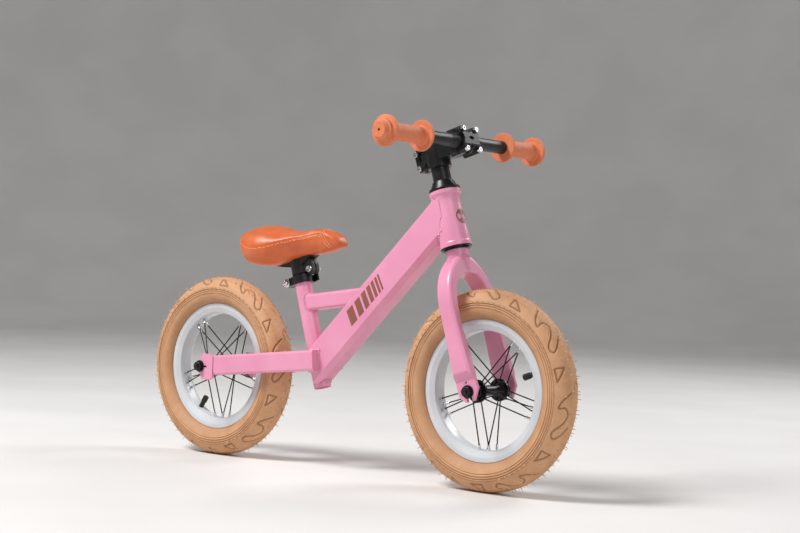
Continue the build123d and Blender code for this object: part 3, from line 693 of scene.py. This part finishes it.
def press_seam(piece, points, half_mm, deep_mm):
    """Moves vertices near a line inwards along their normals."""
    bm = bmesh.new()
    bm.from_mesh(piece.data)
    bm.normal_update()
    reach = half_mm * MM
    cells = {}
    for point in points:
        cells.setdefault(tuple(int(c // (4 * reach)) for c in point), []).append(point)
    for vert in bm.verts:
        base = [int(c // (4 * reach)) for c in vert.co]
        near = 1.0
        for dx in (-1, 0, 1):
            for dy in (-1, 0, 1):
                for dz in (-1, 0, 1):
                    for point in cells.get((base[0] + dx, base[1] + dy, base[2] + dz), ()):
                        near = min(near, (vert.co - point).length)
        if near < reach:
            vert.co -= vert.normal * deep_mm * MM * (1 - (near / reach) ** 2) ** 2
    bm.to_mesh(piece.data)
    bm.free()
    piece.data.update()


def on_surface(tree, points):
    """Each point moved to the nearest place on the cover, with the outward direction there."""
    found = [tree.find_nearest(p) for p in points]
    return [(place, normal) for place, normal, _, _ in found]


def spaced(points, gap):
    """Points at an even spacing along a line of points."""
    result = [points[0]]
    carried = 0.0
    for a, b in zip(points, points[1:]):
        length = (b - a).length
        while carried + length >= gap:
            a = a + (b - a) * ((gap - carried) / length)
            length = (b - a).length
            carried = 0.0
            result.append(a)
        carried += length
    return result


def cover_tree():
    return BVHTree.FromPolygons(
        [v.co for v in saddle.data.vertices], [tuple(p.vertices) for p in saddle.data.polygons]
    )


def dense(tree, points):
    """A seam line on the cover itself, with a point every half millimetre."""
    return [place for place, normal in on_surface(tree, spaced(points, SEAM_STEP * MM))]


tree = cover_tree()
seam_lines = [dense(tree, edge_seam(side)) for side in (1, -1)] + [dense(tree, nose_row(0))]
for line in seam_lines:
    press_seam(saddle, line, SEAM_HALF, SEAM_DEEP)
print("seam length (mm):", [round(len(line) * SEAM_STEP) for line in seam_lines])

# %% Stitches
STITCH_GAP = 3.6
STITCH_LONG = 2.4
EDGE_ASIDE = 2.4
NOSE_ASIDE = 2.6


def lay_stitches(bm, tree, points, offset):
    """Pills along a line, moved sideways by an offset on the surface."""
    line = on_surface(tree, spaced(points, STITCH_GAP * MM))
    for (a, normal), (b, _) in zip(line, line[1:]):
        along = (b - a).normalized()
        side = normal.cross(along).normalized()
        middle, lift, _, _ = tree.find_nearest((a + b) / 2 + side * offset * MM)
        across = lift.cross(along).normalized()
        turn = Matrix([[along[r], across[r], lift[r]] for r in range(3)]).to_4x4()
        place = Matrix.Translation((middle + lift * 0.25 * MM) * 1000) @ turn
        bmesh.ops.create_icosphere(
            bm, subdivisions=1, radius=1.0, matrix=place @ Matrix.Diagonal((STITCH_LONG / 2, 0.68, 0.6, 1))
        )


tree = cover_tree()
stitch_bm = bmesh.new()
for side in (1, -1):
    lay_stitches(stitch_bm, tree, edge_seam(side), EDGE_ASIDE * side)
for shift in (-NOSE_ASIDE, NOSE_ASIDE):
    lay_stitches(stitch_bm, tree, nose_row(shift), 0.0)
stitches = finish_piece("saddle_stitches", stitch_bm, thread, "seat", sharp=180)
print("stitch faces:", len(stitches.data.polygons))

# %% [markdown]
# ## Welds
# Aluminium tubes are joined by TIG welding, which leaves a bead like a row of overlapping coins, painted
# with the frame. Each bead is a run of flattened spheres, spaced like the welder's dabs of filler at about
# 2.4 mm. The beads round a tube's end are found by following its skin along the tube to the next piece.

# %% Weld beads
DAB_SPACING = 2.4
MAIN_EDGE = Vector((40.2, 0, 301.9))
MAIN_SLOPE = radians(45)
MAIN_ALONG = Vector((cos(MAIN_SLOPE), 0, sin(MAIN_SLOPE)))
MAIN_UP = Vector((-sin(MAIN_SLOPE), 0, cos(MAIN_SLOPE)))
CROSS_START = Vector((-92, 0, 269.5))
CROSS_SLOPE = radians(7.5)
CROSS_ALONG = Vector((cos(CROSS_SLOPE), 0, sin(CROSS_SLOPE)))
CROSS_UP = Vector((-sin(CROSS_SLOPE), 0, cos(CROSS_SLOPE)))


def add_dab(bm, place, ahead, facing, radius):
    """One flattened dab of filler, lying along a bead and facing out of its corner."""
    up = facing.normalized()
    across = up.cross(ahead).normalized()
    along = across.cross(up)
    turn = Matrix([[along[r], across[r], up[r]] for r in range(3)]).to_4x4()
    size = Matrix.Diagonal((radius * 0.62, radius, radius * 0.7, 1))
    spot = Matrix.Translation(place) @ turn @ size
    bmesh.ops.create_uvsphere(bm, u_segments=8, v_segments=6, radius=1.0, matrix=spot)


def lay_bead(bm, points, facing, radius):
    """Dabs along a line of points that all face one way."""
    dabs = spaced([Vector(p) for p in points], DAB_SPACING)
    for a, b in zip(dabs, dabs[1:]):
        add_dab(bm, a, b - a, Vector(facing), radius)


def section_points(corners, origin, up, sink):
    """Points round a tube's (height, y) section, sunk a little inside it, with the outward directions."""
    found = []
    for (h0, y0), (h1, y1) in zip(corners, corners[1:] + corners[:1]):
        length = hypot(h1 - h0, y1 - y0)
        outward = (up * (y1 - y0) - Vector((0, 1, 0)) * (h1 - h0)) / length
        count = max(1, round(length / DAB_SPACING))
        for k in range(count):
            share = k / count
            place = origin + up * (h0 + (h1 - h0) * share) + Vector((0, y0 + (y1 - y0) * share, 0))
            found.append((place - outward * sink, outward))
    return found


def weld_round(bm, corners, origin, along, up, node, radius, sink=1.4):
    """A bead where a tube's skin, followed along the tube, runs into another piece's mesh."""
    mesh = frame["nodes"][node].data
    skin = BVHTree.FromPolygons([v.co for v in mesh.vertices], [tuple(p.vertices) for p in mesh.polygons])
    hits = []
    for start, outward in section_points(corners, origin, up, sink):
        place, normal, _, _ = skin.ray_cast(start * MM, along)
        if place is not None:
            hits.append((place * 1000 + outward * sink, normal + outward))
    for (a, facing), (b, _) in zip(hits, hits[1:] + hits[:1]):
        if 0.1 < (b - a).length < 4 * DAB_SPACING:
            add_dab(bm, a, b - a, facing, radius)
    return len(hits)


MAIN_SECTION = [(-54, 12), (-47.5, 22), (-5, 22), (-1.5, 20.5), (0, 17)]
MAIN_SECTION += [(h, -y) for h, y in reversed(MAIN_SECTION)]
CROSS_SECTION = [(-13.5, 6), (-11.7, 10.2), (-7.5, 12), (7.5, 12), (11.7, 10.2), (13.5, 6)]
CROSS_SECTION += [(h, -y) for h, y in reversed(CROSS_SECTION)]
MAIN_FROM = MAIN_EDGE + MAIN_ALONG * 30
CROSS_FROM = CROSS_START + CROSS_ALONG * 40
# section of the tube, where its skin is followed from, which way, its upward side, piece met, size of a dab
ROUND_BEADS = [
    (MAIN_SECTION, MAIN_FROM, MAIN_ALONG, MAIN_UP, "head_tube", 3.4),
    (MAIN_SECTION, MAIN_FROM, -MAIN_ALONG, MAIN_UP, "seat_tube", 3.0),
    (CROSS_SECTION, CROSS_FROM, -CROSS_ALONG, CROSS_UP, "seat_tube", 2.7),
    (CROSS_SECTION, CROSS_FROM, CROSS_ALONG, CROSS_UP, "main_tube", 2.7),
]
weld_bm = bmesh.new()
for section, start, along, up, node, radius in ROUND_BEADS:
    dabs = weld_round(weld_bm, section, start, along, up, node, radius)
    print("dabs where a tube meets the", node + ":", dabs)
STAY_FRONT = -41.7
STAY_REAR = -252.5
STAY_SLOPE = radians(6)
STAY_REAR_HEIGHT = 156.0
STAY_HALF_HEIGHT = 17.1
STAY_BEAD = 3.0
MAIN_SIDE = 22.2


def stay_edge(x, side, high):
    """A point of a stay's upper or lower edge on the side of the main tube."""
    middle_height = STAY_REAR_HEIGHT + (x - STAY_REAR) * sin(STAY_SLOPE) / cos(STAY_SLOPE)
    return (x, side * MAIN_SIDE, middle_height + high * STAY_HALF_HEIGHT)


for side in (-1, 1):
    run = [STAY_FRONT - 20, STAY_FRONT]
    for high in (1, -1):
        lay_bead(weld_bm, [stay_edge(x, side, high) for x in run], (0, side, high), STAY_BEAD)
    lay_bead(weld_bm, [stay_edge(STAY_FRONT, side, high) for high in (1, -1)], (1, side, 0), STAY_BEAD)
frame_welds = finish_piece("frame_welds", weld_bm, pink_powder_coat, "frame", sharp=180)
CROWN_TUBE = 17.5
CROWN_JOINT = -17
crown_bm = bmesh.new()
angles = [radians(a) for a in range(0, 360, 8)]
ring = [Vector((CROWN_TUBE * cos(a), CROWN_TUBE * sin(a), CROWN_JOINT)) for a in angles]
for a, b in zip(ring, ring[1:] + ring[:1]):
    add_dab(crown_bm, a, b - a, Vector((a.x, a.y, 6)), 2.0)
crown_weld = finish_piece("fork_weld", crown_bm, pink_powder_coat, "steering", HEAD, sharp=180)
print("weld faces:", len(frame_welds.data.polygons) + len(crown_weld.data.polygons))

# %% [markdown]
# ## Printed marks
# The main tube carries a plain row of slanting brown bars, thin plates a fifth of a millimetre thick, like a
# print under lacquer. The head tube carries a plain round badge, 0.3 mm thick, with a raised rim and hub.

# %% Slanting bars and badge
BAR_STARTS = [18, 40, 58, 73, 85, 95, 103]
BAR_WIDTHS = [16, 13, 10.5, 8.5, 6.5, 5.0, 3.6]
BAR_TALL = 25
BAR_SLANT = 0.32
BAR_THICK = 0.18
BARS_BACK = 70
BARS_DOWN = 23.5
PRINT_SIDE = 22.05


def make_bars(side):
    bm = bmesh.new()
    for start, width in zip(BAR_STARTS, BAR_WIDTHS):
        for vert in bmesh.ops.create_cube(bm, size=1.0)["verts"]:
            across = vert.co.y * BAR_TALL
            along = start - BARS_BACK + (vert.co.x + 0.5) * width + across * BAR_SLANT
            lift = side * (PRINT_SIDE + (vert.co.z + 0.5) * BAR_THICK)
            vert.co = MAIN_EDGE + MAIN_ALONG * along + MAIN_UP * (across - BARS_DOWN) + Vector((0, lift, 0))
    return bm


for side, word in ((-1, "right"), (1, "left")):
    finish_piece("main_tube_bars_" + word, make_bars(side), brown_print, "frame", sharp=30)


HEAD_RADII = [(6, 25.0), (7.5, 24.3), (16, 24.0), (34, 23.0), (52, 21.6), (66, 21.0), (74, 21.2)]
BADGE_RADIUS = 11.5
BADGE_THICK = 0.3
BADGE_UP = 44
BADGE_WRAP = 22


def head_radius(height):
    """The head tube's outer radius at a height above its lower end."""
    for (h0, r0), (h1, r1) in zip(HEAD_RADII, HEAD_RADII[1:]):
        if h0 <= height <= h1:
            return r0 + (r1 - r0) * (height - h0) / (h1 - h0)
    return HEAD_RADII[-1][1]


def make_badge():
    """A round plate with a raised rim and hub, wrapped on the front of the head tube."""
    bm = bmesh.new()
    bmesh.ops.create_circle(bm, cap_ends=True, segments=48, radius=BADGE_RADIUS)
    middle = bm.faces[:]
    for step in (0.4, 0.9, 0.4, 2.2, 2.2, 0.4, 1.2, 0.4):
        bmesh.ops.inset_region(bm, faces=middle, thickness=step)
    bmesh.ops.poke(bm, faces=middle)
    for vert in bm.verts:
        out = vert.co.length
        vert.co.z = 0.7 if 10.1 < out < 11.2 or 3.6 < out < 5.3 else 0.35
    bmesh.ops.solidify(bm, geom=bm.faces[:], thickness=BADGE_THICK)
    for vert in bm.verts:
        around, up, lift = vert.co
        height, turn = BADGE_UP + up, around / BADGE_WRAP
        radius = head_radius(height) + 0.1 + lift
        vert.co = Vector((radius * cos(turn), radius * sin(turn), height))
    return bm


finish_piece("head_badge", make_badge(), brown_print, "frame", place=HEAD, sharp=30)
print("printed marks done")

# %% [markdown]
# ## Bar sleeves
# The bar is turned down where a grip slides on, and a thin sleeve fills the step between the wide part and
# the grip's flange. The right one is bare grey metal, the left one is black like the bar.

# %% Bar sleeves
SLEEVE_BORE = 9.3
SLEEVE_ENDS = (92.8, 102.6)
SLEEVE_EDGE = 0.3


def make_sleeve(side, radius):
    bm = bmesh.new()
    near, far = SLEEVE_ENDS
    outline = [(SLEEVE_BORE, near), (radius - SLEEVE_EDGE, near), (radius, near + SLEEVE_EDGE)]
    outline += [(radius, far - SLEEVE_EDGE), (radius - SLEEVE_EDGE, far), (SLEEVE_BORE, far)]
    spin_outline(bm, [(r, side * y) for r, y in outline], 64)
    return bm


BAR_PLACE = HEAD @ Matrix.Translation((53.1, 0, 153.5))
finish_piece("bar_sleeve_right", make_sleeve(-1, 9.8), raw_aluminium, "steering", BAR_PLACE)
finish_piece("bar_sleeve_left", make_sleeve(1, 10.2), bar_anodised, "steering", BAR_PLACE)
print("bar sleeves done")

# %% [markdown]
# ## Floor and light
# The studio is a wide pale bowl: a flat floor whose rim curves up, so no horizon line shows from any side.
# A large soft light stands high on the left of the camera, a weaker one fills from the right, and one behind
# draws the edges.

# %% Stage
def pale_paper():
    material, shader = principled("pale_paper", {"Roughness": 0.85})
    grain = pattern(material, "ShaderNodeTexNoise", 400, {"Detail": 2.0})
    tint(material, shader, grain, "#DCDAD8", "#E2E0DE")
    return material


bm = bmesh.new()
profile = [(0.001, 0)] + [(1.0 * k, 0) for k in range(1, 6)]
profile += [(5 + 2.5 * sin(radians(a)), 2.5 - 2.5 * cos(radians(a))) for a in range(10, 91, 10)]
profile += [(7.5, 6.0)]
verts = [bm.verts.new((r, 0, h)) for r, h in profile]
edges = [bm.edges.new(pair) for pair in zip(verts, verts[1:])]
bmesh.ops.spin(bm, geom=verts + edges, cent=(0, 0, 0), axis=(0, 0, 1), angle=2 * pi, steps=96, use_merge=True)
bmesh.ops.remove_doubles(bm, verts=bm.verts, dist=0.01)
bmesh.ops.recalc_face_normals(bm, faces=bm.faces)
bowl_mesh = bpy.data.meshes.new("studio_bowl")
bm.to_mesh(bowl_mesh)
bm.free()
bowl_mesh.shade_smooth()
bowl_mesh.materials.append(pale_paper())
bowl = bpy.data.objects.new("studio_bowl", bowl_mesh)
bpy.context.scene.collection.objects.link(bowl)


def soft_light(name, place, size, watts, target=(0, 0, 0.25)):
    data = bpy.data.lights.new(name, "AREA")
    data.size = size
    data.energy = watts
    light = bpy.data.objects.new(name, data)
    light.location = place
    light.rotation_mode = "QUATERNION"
    light.rotation_quaternion = (Vector(target) - Vector(place)).to_track_quat("-Z", "Y")
    bpy.context.scene.collection.objects.link(light)


soft_light("key_light", (-1.2, -2.0, 3.2), 1.2, 150)
soft_light("fill_light", (3.0, -1.4, 1.5), 1.8, 20)
soft_light("edge_light", (0.9, 2.8, 2.4), 1.6, 55)
world = bpy.data.worlds.new("studio_air")
world.use_nodes = True
world.node_tree.nodes["Background"].inputs["Color"].default_value = linear("#F2F3F5")
world.node_tree.nodes["Background"].inputs["Strength"].default_value = 0.24
bpy.context.scene.world = world
print("stage set")
